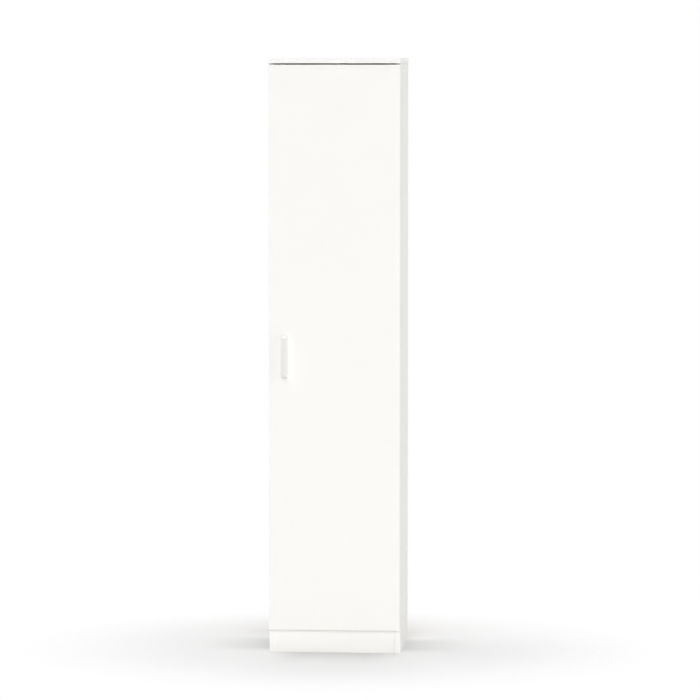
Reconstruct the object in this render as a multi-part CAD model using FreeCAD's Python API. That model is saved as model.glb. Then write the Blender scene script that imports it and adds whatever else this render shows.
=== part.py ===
import FreeCAD, Part
import os

os.makedirs("parts", exist_ok=True)

# Broom cupboard, millimetres, +Z up, front towards -Y, the door hinged on the right (+X).
# The origin is under the middle of the bounding box, on the floor.

# Case
width = 400.0  # over the top board
height = 1800.0
depth = 350.0  # front edge of the top board to the rear edges of the sides
board = 16.0  # thickness of every case board
top_side_overhang = 1.0  # top board past each side panel
top_front_overhang = 1.5  # top board ahead of the door's face
plinth_height = 70.0
plinth_setback = 4.0  # behind the front edges of the sides
case_band = 0.8  # edge banding of the case boards
case_band_radius = 0.5

# Door
door_thickness = 16.0
door_gap_behind = 2.5
door_gap_top = 4.0
door_rise = 1.0  # lower edge above the plinth
door_side_reveal = 0.75
door_band = 2.0
door_band_radius = 1.5

# Shelves
upper_space = 368.0  # clear height between the fixed shelf and the top board
loose_shelf_rise = 176.0  # underside of the loose shelf above the fixed shelf
fixed_shelf_setback = 3.0
loose_shelf_setback = 12.0
loose_shelf_play = 0.8  # at each end and behind

# Back panel, in grooves
back_thickness = 3.0
back_inset = 10.0  # rear edges to the groove
groove_depth = 6.0
groove_play = 0.2
lower_back_height = 760.0  # floor to the joint of the two back panels
joiner_wall = 1.0
joiner_flange = 7.0

# Board connectors: cam bolt, cam lock and dowel
connector_inset = 50.0  # from the front and rear edges
dowel_offset = 32.0  # dowel beside its bolt
cam_distance = 34.0  # cam centre to the end of the board
cam_radius = 7.5
cam_skin = 3.5  # wood left under a cam
cam_recess = 0.3
cam_play = 0.15
bolt_thread_radius = 2.5
bolt_shank_radius = 3.0
bolt_neck_radius = 2.0
bolt_head_radius = 3.4
bolt_bore_radius = 3.75
blind_skin = 5.0  # wood left under any other blind hole
bolt_neck_length = 3.0
bolt_head_length = 3.0
bolt_head_reach = 1.0  # past the cam's centre
cam_bore_reach = 3.0  # past the cam's centre
cam_cross_length = 8.0
cam_cross_width = 1.6
cam_cross_depth = 1.8
dowel_radius = 4.0
dowel_end_length = 20.0  # in the end of a board
dowel_chamfer = 0.8
hole_play = 0.05  # between a hole's wall and what is in it
tip_room = 0.5  # between a blind hole's end and what is in it
cap_radius = 8.5
cap_thickness = 0.8

# Shelf pins
pin_radius = 2.5
pin_row_inset = 37.0
pin_pitch = 32.0
pin_holes_each_way = 2
pin_reach = 8.0
pin_support_width = 9.0

# Screws
wood_screw_radius = 1.6
wood_screw_head_radius = 3.6
wood_screw_head_height = 1.6
bracket_screw_length = 12.0
recess_width_share = 0.22  # of the head's radius, half the width of the cross recess
recess_length_share = 0.62  # of the head's radius, half the length of the cross recess
recess_floor_share = 0.45  # of the head's height, left under the cross recess
edge_share = 0.4  # of a small piece's thickness, taken by the rounding of its edge
wall_share = 0.9  # of a wall's thickness, the most that a rounding may take
back_screw_spread = 120.0

# Tool rail and hooks
rail_height = 60.0
rail_screw_spread = 60.0
hook_spacing = 100.0
hook_plate_width = 14.0
hook_plate_height = 44.0
hook_plate_thickness = 2.0
hook_wire_radius = 2.5
hook_reach = 30.0
hook_lip = 16.0
hook_bend_radius = 7.0
hook_wire_share = 0.3  # of the plate's height, from its middle down to the wire
hook_screw_share = 0.25  # of the plate's height, from its middle up to the screw

# Brackets
bracket_thickness = 2.0
plinth_bracket_leg = 26.0
plinth_bracket_height = 30.0
wall_bracket_leg = 30.0
wall_bracket_width = 20.0
wall_screw_hole_radius = 2.75
wall_screw_end_distance = 10.0  # from the bracket's lower end
bracket_screw_share = 0.6  # of a bracket's leg, from its corner to its screw

# Hinges
hinge_count = 4
hinge_end_distance = 110.0  # from the ends of the door
cup_radius = 17.5
cup_edge_margin = 3.0  # wood between the cup and the door's edge
cup_skin = 3.0  # wood under the cup
cup_floor = 0.8
flange_thickness = 0.8
flange_rim = 0.7
wing_screw_spread = 24.0
wing_screw_offset = 6.0
wing_radius = 6.5
channel_half_width = 6.5
channel_end_wall = 0.8
neck_half_width = 6.0
eye_radius = 2.5
pivot_pin_radius = 1.25
pivot_pin_half_length = 9.5
pivot_play = 0.05
pin_grip_play = 0.01  # pin in the cup's walls
swing_play = 0.3
neck_reach = 11.2  # pivot axis to the near side of the neck
neck_thickness = 3.5
arm_height = 10.6  # above the side panel
arm_wall = 3.0
arm_cheek = 1.7
arm_start = 8.0  # behind the front edge of the side
arm_length = 58.0
arm_lift = 0.4
arm_edge_radius = 1.0
heel_radius = 3.2
plate_thickness = 2.0
plate_screw_row = 37.0
plate_screw_spread = 16.0
plate_wing_radius = 7.0
plate_length = 40.0
plate_start = 22.0
ridge_play = 0.3
plate_screw_radius = 2.4
arm_screw_radius = 2.0
arm_screw_head_radius = 3.4
arm_screw_head_height = 1.4
arm_screw_spread = 12.0

# Magnet catch and buffers
magnet_case_width = 14.0
magnet_case_depth = 18.0
magnet_case_height = 46.0
magnet_width = 6.0
magnet_height = 26.0
magnet_length = 10.0
pole_thickness = 1.5
pole_proud = 1.5
catch_edge_radius = 1.5
catch_screw_spread = 17.5
strike_thickness = 1.2
strike_width = 13.0
strike_height = 34.0
catch_air = 0.3
buffer_radius = 4.0
buffer_end_distance = 60.0

# Handle
handle_centre_height = 902.0
handle_edge_distance = 50.5  # bar's centre line to the door's free edge
handle_width = 13.8
handle_front_length = 118.5
handle_foot_length = 131.2
handle_projection = 36.0
handle_bar_thickness = 9.0
handle_leg_thickness = 12.0
handle_edge_radius = 0.8
handle_screw_spacing = 120.0
handle_screw_radius = 2.0
handle_screw_grip = 9.0  # thread inside the foot
handle_screw_head_radius = 4.0
handle_screw_head_height = 2.2

# Places that follow from the sizes above
case_width = width - 2 * top_side_overhang
inner_x = case_width / 2 - board
outer_x = case_width / 2
side_height = height - board
whole_depth = depth - top_front_overhang + handle_projection
rear_y = whole_depth / 2
top_front_y = rear_y - depth
door_front_y = top_front_y + top_front_overhang
door_back_y = door_front_y + door_thickness
side_front_y = door_back_y + door_gap_behind
back_rear_y = rear_y - back_inset
back_front_y = back_rear_y - back_thickness
door_half = outer_x - door_side_reveal
door_bottom = plinth_height + door_rise
door_top = side_height - door_gap_top
fixed_shelf_top = side_height - upper_space
fixed_shelf_bottom = fixed_shelf_top - board
loose_shelf_bottom = fixed_shelf_top + loose_shelf_rise
cam_depth = board - cam_skin
face_hole_depth = board - blind_skin
front_row_y = side_front_y + connector_inset
rear_row_y = back_front_y - connector_inset

UP = FreeCAD.Vector(0, 0, 1)
DOWN = FreeCAD.Vector(0, 0, -1)
LEFT = FreeCAD.Vector(-1, 0, 0)
RIGHT = FreeCAD.Vector(1, 0, 0)
FORWARD = FreeCAD.Vector(0, -1, 0)
BACKWARD = FreeCAD.Vector(0, 1, 0)
OVERCUT = 1.0  # how far a cut runs past an open face
NEAR = 1e-6  # places closer than this are one

nodes = {}
cuts = {}


def point(x, y, z):
    return FreeCAD.Vector(x, y, z)


def add(node, *solids):
    nodes.setdefault(node, []).extend(solids)


def cut_from(node, *tools):
    cuts.setdefault(node, []).extend(tools)


def block(x0, x1, y0, y1, z0, z1):
    return Part.makeBox(x1 - x0, y1 - y0, z1 - z0, point(x0, y0, z0))


def rod(start, direction, radius, length):
    return Part.makeCylinder(radius, length, start, direction)


def drilled(mouth, direction, radius, depth):
    """What a drill takes away: a hole of this depth, started a little before its mouth."""
    return rod(mouth - direction * OVERCUT, direction, radius, depth + OVERCUT)


def fused(first, *others):
    return first.multiFuse(list(others)).removeSplitter()


def moved(shape, x=0.0, y=0.0, z=0.0):
    copy = shape.copy()
    copy.translate(point(x, y, z))
    return copy


def mirrored(shape):
    """The same shape on the other side of the middle plane."""
    return shape.mirror(point(0, 0, 0), RIGHT)


def placed(shape, seat, normal):
    """A shape drawn on the XY plane, set with its +Z along the normal."""
    copy = shape.copy()
    copy.Placement = FreeCAD.Placement(seat, FreeCAD.Rotation(UP, normal))
    return copy


def rounded_face(shape, normal, radius):
    """Rounds the edges around the one flat face that looks along the normal."""
    levels = [normal.dot(vertex.Point) for vertex in shape.Vertexes]
    edges = [edge for edge in shape.Edges
             if all(abs(normal.dot(vertex.Point) - max(levels)) < NEAR
                    for vertex in edge.Vertexes)]
    wall = max(levels) - min(levels)
    return shape.makeFillet(min(radius, wall_share * wall), edges)


def banded_front(node, band_node, x0, x1, y0, y1, z0, z1):
    """A case board with a strip of edge banding on its front edge."""
    add(node, block(x0, x1, y0 + case_band, y1, z0, z1))
    strip = block(x0, x1, y0, y0 + case_band, z0, z1)
    add(band_node, rounded_face(strip, FORWARD, case_band_radius))


def pan_head_screw(shank_radius, length, head_radius, head_height):
    """A screw on the XY plane: the shank runs down, the head stands up with a cross recess."""
    head = rod(point(0, 0, 0), UP, head_radius, head_height)
    head = rounded_face(head, UP, edge_share * head_height)
    slot = recess_width_share * head_radius
    reach = recess_length_share * head_radius
    floor = recess_floor_share * head_height
    for half_x, half_y in ((reach, slot), (slot, reach)):
        head = head.cut(block(-half_x, half_x, -half_y, half_y, floor, head_height + OVERCUT))
    return head.fuse(rod(point(0, 0, 0), DOWN, shank_radius, length)).removeSplitter()


def wood_screw(node, seat, normal, through, into, length=bracket_screw_length):
    """Sets one wood screw and drills what it passes through and what it bites in."""
    add(node, placed(pan_head_screw(wood_screw_radius, length, wood_screw_head_radius,
                                    wood_screw_head_height), seat, normal))
    hole = drilled(seat, normal * -1, wood_screw_radius + hole_play, length + tip_room)
    cut_from(through, hole)
    cut_from(into, hole)


# Case boards ----------------------------------------------------------------

def make_sides():
    for side, sign in (("left_side_panel", -1), ("right_side_panel", 1)):
        x0, x1 = sorted((sign * inner_x, sign * outer_x))
        banded_front(side, "side_edge_bands", x0, x1, side_front_y, rear_y, 0, side_height)
        groove_x0, groove_x1 = sorted((sign * (inner_x - OVERCUT), sign * (inner_x + groove_depth)))
        cut_from(side, block(groove_x0, groove_x1, back_front_y - groove_play,
                             back_rear_y + groove_play, -OVERCUT, side_height + OVERCUT))


def make_top():
    half = width / 2
    core_half = half - case_band
    core_front = top_front_y + case_band
    add("top_board", block(-core_half, core_half, core_front, rear_y, side_height, height))
    front = block(-half, half, top_front_y, core_front, side_height, height)
    add("top_edge_bands", rounded_face(front, FORWARD, case_band_radius))
    right = block(core_half, half, core_front, rear_y, side_height, height)
    right = rounded_face(right, RIGHT, case_band_radius)
    add("top_edge_bands", right, mirrored(right))
    cut_from("top_board", block(-inner_x - groove_depth, inner_x + groove_depth,
                                back_front_y - groove_play, back_rear_y + groove_play,
                                side_height - OVERCUT, side_height + groove_depth))


def make_inner_boards():
    banded_front("bottom_board", "shelf_edge_bands", -inner_x, inner_x, side_front_y,
                 back_front_y, plinth_height, plinth_height + board)
    banded_front("fixed_shelf", "shelf_edge_bands", -inner_x, inner_x,
                 side_front_y + fixed_shelf_setback, back_front_y,
                 fixed_shelf_bottom, fixed_shelf_top)
    reach = inner_x - loose_shelf_play
    banded_front("loose_shelf", "shelf_edge_bands", -reach, reach,
                 side_front_y + loose_shelf_setback, back_front_y - loose_shelf_play,
                 loose_shelf_bottom, loose_shelf_bottom + board)
    plinth_front = side_front_y + plinth_setback
    add("plinth_board", block(-inner_x, inner_x, plinth_front, plinth_front + board,
                              0, plinth_height))
    add("tool_rail", block(-inner_x, inner_x, back_front_y - board, back_front_y,
                           fixed_shelf_bottom - rail_height, fixed_shelf_bottom))


def make_back():
    reach = inner_x + groove_depth - 2 * groove_play
    gap = joiner_wall / 2 + groove_play
    add("lower_back_panel", block(-reach, reach, back_front_y, back_rear_y,
                                  plinth_height, lower_back_height - gap))
    add("upper_back_panel", block(-reach, reach, back_front_y, back_rear_y,
                                  lower_back_height + gap,
                                  side_height + groove_depth - 2 * groove_play))
    strip_reach = inner_x - groove_play
    web = block(-strip_reach, strip_reach, back_front_y - joiner_wall, back_rear_y + joiner_wall,
                lower_back_height - joiner_wall / 2, lower_back_height + joiner_wall / 2)
    front = block(-strip_reach, strip_reach, back_front_y - groove_play - joiner_wall,
                  back_front_y - groove_play, lower_back_height - joiner_flange,
                  lower_back_height + joiner_flange)
    rear = moved(front, y=back_thickness + 2 * groove_play + joiner_wall)
    add("back_joining_strip", fused(web, front, rear))
    for x in (-back_screw_spread, 0.0, back_screw_spread):
        wood_screw("back_screws", point(x, back_rear_y, plinth_height + board / 2), BACKWARD,
                   "lower_back_panel", "bottom_board")
    for x in (-rail_screw_spread, rail_screw_spread):
        wood_screw("back_screws", point(x, back_rear_y, fixed_shelf_bottom - rail_height / 2),
                   BACKWARD, "upper_back_panel", "tool_rail")


# Board connectors -----------------------------------------------------------

def make_cam_bolt():
    """Bolt along +Z: thread below the XY plane, shank, neck and head above it."""
    head_start = cam_distance + bolt_head_reach - bolt_head_length
    neck_start = head_start - bolt_neck_length
    return fused(rod(point(0, 0, 0), DOWN, bolt_thread_radius, face_hole_depth - tip_room),
                 rod(point(0, 0, 0), UP, bolt_shank_radius, neck_start),
                 rod(point(0, 0, neck_start), UP, bolt_neck_radius, bolt_neck_length),
                 rod(point(0, 0, head_start), UP, bolt_head_radius, bolt_head_length))


def make_cam_lock():
    """Cam under the XY plane, its open face up, the bolt's way in along +X."""
    cam = rod(point(0, 0, -cam_recess), DOWN, cam_radius - cam_play, cam_depth - 2 * cam_recess)
    cam = cam.cut(rod(point(-cam_bore_reach, 0, -board / 2), RIGHT, bolt_bore_radius,
                      cam_bore_reach + cam_radius))
    floor = -cam_recess - cam_cross_depth
    for length, wide in ((cam_cross_length, cam_cross_width), (cam_cross_width, cam_cross_length)):
        cam = cam.cut(block(-length / 2, length / 2, -wide / 2, wide / 2, floor, OVERCUT))
    return cam


def make_cap():
    disc = rod(point(0, 0, 0), UP, cap_radius, cap_thickness)
    return rounded_face(disc, UP, edge_share * cap_thickness)


CAM_BOLT = make_cam_bolt()
CAM_LOCK = make_cam_lock()
CAP = make_cap()


def connect(mouth, into, face, receiver, mate, capped=True):
    """One cam bolt from the mate's face into the receiver's end, with its cam lock and cap."""
    add("cam_bolts", placed(CAM_BOLT, mouth, into))
    cut_from(mate, drilled(mouth, into * -1, bolt_thread_radius + hole_play, face_hole_depth))
    cut_from(receiver, drilled(mouth, into, bolt_bore_radius, cam_distance))
    centre = mouth + into * cam_distance + face * (board / 2)
    cut_from(receiver, drilled(centre, face * -1, cam_radius, cam_depth))
    towards_bolt = into * -1
    lock = CAM_LOCK.copy()
    turn = FreeCAD.Rotation(towards_bolt, face.cross(towards_bolt), face, "ZXY")
    lock.Placement = FreeCAD.Placement(centre, turn)
    add("cam_locks", lock)
    if capped:
        add("cam_caps", placed(CAP, centre, face))


def dowel(mouth, into, receiver, mate):
    """One dowel, part in the mate's face and part in the receiver's end."""
    peg = rod(mouth - into * (face_hole_depth - tip_room), into, dowel_radius,
              face_hole_depth + dowel_end_length - 2 * tip_room)
    round_edges = [edge for edge in peg.Edges if not edge.isSeam(peg.Faces[0])]
    add("dowels", peg.makeChamfer(dowel_chamfer, round_edges))
    cut_from(mate, drilled(mouth, into * -1, dowel_radius + hole_play, face_hole_depth))
    cut_from(receiver, drilled(mouth, into, dowel_radius + hole_play, dowel_end_length))


def make_connectors():
    for side, sign in (("left_side_panel", -1), ("right_side_panel", 1)):
        inward = point(-sign, 0, 0)
        for shelf, z in (("bottom_board", plinth_height + board / 2),
                         ("fixed_shelf", fixed_shelf_bottom + board / 2)):
            for y, step in ((front_row_y, dowel_offset), (rear_row_y, -dowel_offset)):
                mouth = point(sign * inner_x, y, z)
                connect(mouth, inward, DOWN, shelf, side)
                dowel(mouth + BACKWARD * step, inward, shelf, side)
        top_x = sign * (inner_x + board / 2)
        for y, step in ((front_row_y, dowel_offset), (rear_row_y, -dowel_offset)):
            mouth = point(top_x, y, side_height)
            connect(mouth, DOWN, inward, side, "top_board")
            dowel(mouth + BACKWARD * step, DOWN, side, "top_board")
        rail_z = fixed_shelf_bottom - rail_height / 2
        connect(point(sign * inner_x, back_front_y - board / 2, rail_z), inward, BACKWARD,
                "tool_rail", side, capped=False)


# Shelf pins -----------------------------------------------------------------

def make_shelf_pins():
    hole_z = loose_shelf_bottom - pin_radius
    rows = (side_front_y + pin_row_inset, back_front_y - pin_row_inset)
    for side, sign in (("left_side_panel", -1), ("right_side_panel", 1)):
        outward = point(sign, 0, 0)
        for y in rows:
            for step in range(-pin_holes_each_way, pin_holes_each_way + 1):
                mouth = point(sign * inner_x, y, hole_z + step * pin_pitch)
                cut_from(side, drilled(mouth, outward, pin_radius + hole_play, face_hole_depth))
            shaft = rod(point(sign * (inner_x - pin_reach / 2), y, hole_z), outward, pin_radius,
                        face_hole_depth - tip_room + pin_reach / 2)
            x0, x1 = sorted((sign * (inner_x - pin_reach), sign * inner_x))
            support = block(x0, x1, y - pin_support_width / 2, y + pin_support_width / 2,
                            hole_z - pin_radius, hole_z + pin_radius)
            add("shelf_pins", fused(support, shaft))


# Brackets -------------------------------------------------------------------

def make_plinth_brackets():
    rear = side_front_y + plinth_setback + board
    z0 = (plinth_height - plinth_bracket_height) / 2
    z1 = z0 + plinth_bracket_height
    middle = plinth_height / 2
    along_plinth = block(inner_x - plinth_bracket_leg, inner_x, rear, rear + bracket_thickness,
                         z0, z1)
    along_side = block(inner_x - bracket_thickness, inner_x, rear, rear + plinth_bracket_leg,
                       z0, z1)
    bracket = fused(along_plinth, along_side)
    add("plinth_brackets", bracket, mirrored(bracket))
    screw_inset = bracket_screw_share * plinth_bracket_leg
    for side, sign in (("left_side_panel", -1), ("right_side_panel", 1)):
        wood_screw("plinth_bracket_screws",
                   point(sign * (inner_x - screw_inset), rear + bracket_thickness, middle),
                   BACKWARD, "plinth_brackets", "plinth_board")
        wood_screw("plinth_bracket_screws",
                   point(sign * (inner_x - bracket_thickness), rear + screw_inset, middle),
                   point(-sign, 0, 0), "plinth_brackets", side)


def make_wall_bracket():
    half = wall_bracket_width / 2
    level = block(-half, half, back_front_y - wall_bracket_leg, back_front_y,
                  side_height - bracket_thickness, side_height)
    upright = block(-half, half, back_front_y - bracket_thickness, back_front_y,
                    side_height - wall_bracket_leg, side_height)
    add("wall_bracket", fused(level, upright))
    wood_screw("wall_bracket_screw",
               point(0, back_front_y - bracket_screw_share * wall_bracket_leg,
                     side_height - bracket_thickness),
               DOWN, "wall_bracket", "top_board", board - cam_skin)
    hole = drilled(point(0, back_front_y - bracket_thickness,
                         side_height - wall_bracket_leg + wall_screw_end_distance),
                   BACKWARD, wall_screw_hole_radius, bracket_thickness + back_thickness + OVERCUT)
    cut_from("wall_bracket", hole)
    cut_from("upper_back_panel", hole)


# Tool hooks -----------------------------------------------------------------

def make_hook():
    """Hook on the plane y = 0, its plate's middle at z = 0, reaching towards -Y."""
    half = hook_plate_width / 2
    plate = block(-half, half, -hook_plate_thickness, 0,
                  -hook_plate_height / 2, hook_plate_height / 2)
    plate = rounded_face(plate, FORWARD, edge_share * hook_plate_thickness)
    level = -hook_wire_share * hook_plate_height
    bend_y = -hook_reach + hook_bend_radius
    top = level + hook_lip
    corner = point(0, -hook_reach, level)
    halfway = 0.5 ** 0.5  # sine and cosine of 45 degrees
    middle = point(0, bend_y - hook_bend_radius * halfway,
                   level + hook_bend_radius * (1 - halfway))
    bend = Part.Arc(point(0, bend_y, level), middle, corner + UP * hook_bend_radius)
    path = Part.Wire([Part.makeLine(point(0, -hook_plate_thickness / 2, level),
                                    point(0, bend_y, level)),
                      bend.toShape(),
                      Part.makeLine(corner + UP * hook_bend_radius, point(0, -hook_reach, top))])
    ring = Part.makeCircle(hook_wire_radius, path.Vertexes[0].Point, FORWARD)
    wire = path.makePipeShell([Part.Wire(ring)], True, False)
    tip = Part.makeSphere(hook_wire_radius, point(0, -hook_reach, top))
    return fused(plate, wire, tip)


def make_hooks():
    hook = make_hook()
    front = back_front_y - board
    z = fixed_shelf_bottom - rail_height / 2
    for step in (-1, 0, 1):
        x = step * hook_spacing
        add("tool_hooks", moved(hook, x, front, z))
        wood_screw("tool_hook_screws",
                   point(x, front - hook_plate_thickness, z + hook_screw_share * hook_plate_height),
                   FORWARD, "tool_hooks", "tool_rail")


# Hinges ---------------------------------------------------------------------

cup_x = door_half - cup_edge_margin - cup_radius
cup_depth = door_thickness - cup_skin
channel_half_length = (cup_radius ** 2 - channel_half_width ** 2) ** 0.5 - channel_end_wall
pivot_x = cup_x + channel_half_length - swing_play - eye_radius
pivot_y = door_back_y - cup_depth + cup_floor + swing_play + eye_radius
neck_near_x = pivot_x - neck_reach
neck_far_x = neck_near_x - neck_thickness
arm_face_x = inner_x - arm_height


def make_cup():
    """Cup and flange at z = 0, with the channel that the arm swings in."""
    bottom = door_back_y - cup_depth
    cup = rod(point(cup_x, bottom, 0), BACKWARD, cup_radius, cup_depth)
    rim = rod(point(cup_x, door_back_y, 0), BACKWARD, cup_radius + flange_rim, flange_thickness)
    wing_x = cup_x - wing_screw_offset
    wing = block(wing_x - wing_radius, wing_x + wing_radius, door_back_y,
                 door_back_y + flange_thickness, -wing_screw_spread, wing_screw_spread)
    ends = [rod(point(wing_x, door_back_y, sign * wing_screw_spread), BACKWARD, wing_radius,
                flange_thickness) for sign in (-1, 1)]
    cup = fused(cup, rim, wing, *ends)
    channel = block(cup_x - channel_half_length, cup_x + channel_half_length, bottom + cup_floor,
                    door_back_y + flange_thickness + OVERCUT,
                    -channel_half_width, channel_half_width)
    pin_hole = rod(point(pivot_x, pivot_y, -pivot_pin_half_length - swing_play), UP,
                   pivot_pin_radius + pin_grip_play, 2 * (pivot_pin_half_length + swing_play))
    return cup.cut(channel).cut(pin_hole)


def make_arm():
    """Arm at z = 0: a channel over the plate's ridge, and the neck that ends in the eye."""
    front = side_front_y + arm_start
    rear = front + arm_length
    outer_half = channel_half_width + arm_cheek
    body = block(arm_face_x, inner_x - plate_thickness - arm_lift, front, rear,
                 -outer_half, outer_half)
    body = rounded_face(body, LEFT, arm_edge_radius)
    hollow = block(arm_face_x + arm_wall, inner_x, front + arm_wall, rear + OVERCUT,
                   -channel_half_width, channel_half_width)
    under = pivot_y - eye_radius
    neck = block(neck_far_x, neck_near_x, under, front + arm_wall,
                 -neck_half_width, neck_half_width)
    run = block(neck_far_x, pivot_x, under, under + neck_thickness,
                -neck_half_width, neck_half_width)
    heel = fused(neck, run)
    heel_edges = [edge for edge in heel.Edges
                  if all(abs(vertex.X - neck_far_x) + abs(vertex.Y - under) < NEAR
                         for vertex in edge.Vertexes)]
    heel = heel.makeFillet(heel_radius, heel_edges)
    eye = rod(point(pivot_x, pivot_y, -neck_half_width), UP, eye_radius, 2 * neck_half_width)
    bore = rod(point(pivot_x, pivot_y, -neck_half_width - OVERCUT), UP,
               pivot_pin_radius + pivot_play, 2 * (neck_half_width + OVERCUT))
    return body.cut(hollow).fuse(heel).fuse(eye).removeSplitter().cut(bore)


def make_plate():
    """Mounting plate at z = 0: a base with two screw wings and the ridge under the arm."""
    base_x = inner_x - plate_thickness
    start = side_front_y + plate_start
    row = side_front_y + plate_screw_row
    ridge_half = channel_half_width - ridge_play
    base = block(base_x, inner_x, start, start + plate_length, -ridge_half, ridge_half)
    cross = block(base_x, inner_x, row - plate_wing_radius, row + plate_wing_radius,
                  -plate_screw_spread, plate_screw_spread)
    ends = [rod(point(base_x, row, sign * plate_screw_spread), RIGHT, plate_wing_radius,
                plate_thickness) for sign in (-1, 1)]
    ridge = block(arm_face_x + arm_wall + ridge_play, base_x, start, start + plate_length,
                  -ridge_half, ridge_half)
    return fused(base, cross, ridge, *ends)


def make_hinges():
    span = door_top - door_bottom - 2 * hinge_end_distance
    cup = make_cup()
    arm = make_arm()
    plate = make_plate()
    pin = rod(point(pivot_x, pivot_y, -pivot_pin_half_length), UP, pivot_pin_radius,
              2 * pivot_pin_half_length)
    arm_screw_length = arm_height - plate_thickness - tip_room
    arm_screw = pan_head_screw(arm_screw_radius, arm_screw_length, arm_screw_head_radius,
                               arm_screw_head_height)
    plate_screw = pan_head_screw(plate_screw_radius, face_hole_depth, wood_screw_head_radius,
                                 wood_screw_head_height)
    for index in range(hinge_count):
        z = door_bottom + hinge_end_distance + span * index / (hinge_count - 1)
        add("hinge_cups", moved(cup, z=z))
        add("hinge_arms", moved(arm, z=z))
        add("hinge_plates", moved(plate, z=z))
        add("hinge_pins", moved(pin, z=z))
        cut_from("door_panel", drilled(point(cup_x, door_back_y, z), FORWARD,
                                       cup_radius + hole_play, cup_depth))
        for sign in (-1, 1):
            seat = point(cup_x - wing_screw_offset, door_back_y + flange_thickness,
                         z + sign * wing_screw_spread)
            wood_screw("hinge_cup_screws", seat, BACKWARD, "hinge_cups", "door_panel",
                       door_thickness - blind_skin)
            seat = point(inner_x - plate_thickness, side_front_y + plate_screw_row,
                         z + sign * plate_screw_spread)
            add("hinge_plate_screws", placed(plate_screw, seat, LEFT))
            hole = drilled(seat, RIGHT, plate_screw_radius + hole_play,
                           face_hole_depth + tip_room)
            cut_from("hinge_plates", hole)
            cut_from("right_side_panel", hole)
            seat = point(arm_face_x, side_front_y + plate_screw_row + sign * arm_screw_spread, z)
            add("hinge_arm_screws", placed(arm_screw, seat, LEFT))
            hole = drilled(seat, RIGHT, arm_screw_radius + hole_play,
                           arm_screw_length + tip_room)
            cut_from("hinge_arms", hole)
            cut_from("hinge_plates", hole)


# Magnet catch and buffers ---------------------------------------------------

def make_catch():
    z = handle_centre_height
    face_y = door_back_y + strike_thickness + catch_air
    rear = face_y + magnet_case_depth
    wall_x = -inner_x
    case_x1 = wall_x + magnet_case_width
    centre_x = wall_x + magnet_case_width / 2
    half_magnet = magnet_width / 2
    body = block(wall_x, case_x1, face_y + pole_proud, rear, z - magnet_case_height / 2,
                 z + magnet_case_height / 2)
    body = rounded_face(body, RIGHT, catch_edge_radius)
    pocket_x = half_magnet + pole_thickness + 2 * hole_play
    pocket = block(centre_x - pocket_x, centre_x + pocket_x, face_y, face_y + magnet_length,
                   z - magnet_height / 2 - hole_play, z + magnet_height / 2 + hole_play)
    add("catch_case", body.cut(pocket))
    magnet = block(centre_x - half_magnet, centre_x + half_magnet, face_y + pole_proud,
                   face_y + magnet_length - hole_play, z - magnet_height / 2,
                   z + magnet_height / 2)
    add("catch_magnet", magnet)
    pole_x = centre_x + half_magnet + hole_play
    pole = block(pole_x, pole_x + pole_thickness, face_y, face_y + magnet_length - hole_play,
                 z - magnet_height / 2, z + magnet_height / 2)
    add("catch_poles", pole, moved(pole, x=-2 * (half_magnet + hole_play) - pole_thickness))
    for sign in (-1, 1):
        seat = point(case_x1, (face_y + rear) / 2, z + sign * catch_screw_spread)
        wood_screw("catch_screws", seat, RIGHT, "catch_case", "left_side_panel",
                   magnet_case_width + board - blind_skin)
    strike = block(centre_x - strike_width / 2, centre_x + strike_width / 2, door_back_y,
                   door_back_y + strike_thickness, z - strike_height / 2, z + strike_height / 2)
    strike = rounded_face(strike, BACKWARD, edge_share * strike_thickness)
    pin = rod(point(centre_x, door_back_y, z), FORWARD, wood_screw_radius,
              door_thickness - blind_skin)
    add("catch_strike", strike.fuse(pin).removeSplitter())
    cut_from("door_panel", drilled(point(centre_x, door_back_y, z), FORWARD,
                                   wood_screw_radius + hole_play,
                                   door_thickness - blind_skin + tip_room))


def make_buffers():
    length = door_gap_behind - catch_air
    for z in (door_bottom + buffer_end_distance, door_top - buffer_end_distance):
        start = point(-inner_x - board / 2, side_front_y, z)
        add("door_buffers", rounded_face(rod(start, FORWARD, buffer_radius, length), FORWARD,
                                         edge_share * length))


# Door -----------------------------------------------------------------------

def make_door():
    core_half = door_half - door_band
    core_bottom = door_bottom + door_band
    core_top = door_top - door_band
    add("door_panel", block(-core_half, core_half, door_front_y, door_back_y,
                            core_bottom, core_top))
    right = block(core_half, door_half, door_front_y, door_back_y, door_bottom, door_top)
    right = rounded_face(right, RIGHT, door_band_radius)
    upper = block(-core_half, core_half, door_front_y, door_back_y, core_top, door_top)
    long_edges = [edge for edge in upper.Edges
                  if all(abs(vertex.Z - door_top) < NEAR for vertex in edge.Vertexes)
                  and abs(edge.CenterOfMass.x) < NEAR]
    upper = upper.makeFillet(min(door_band_radius, wall_share * door_band), long_edges)
    lower = upper.mirror(point(0, 0, (door_bottom + door_top) / 2), UP)
    add("door_edge_bands", right, mirrored(right), upper, lower)


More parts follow.
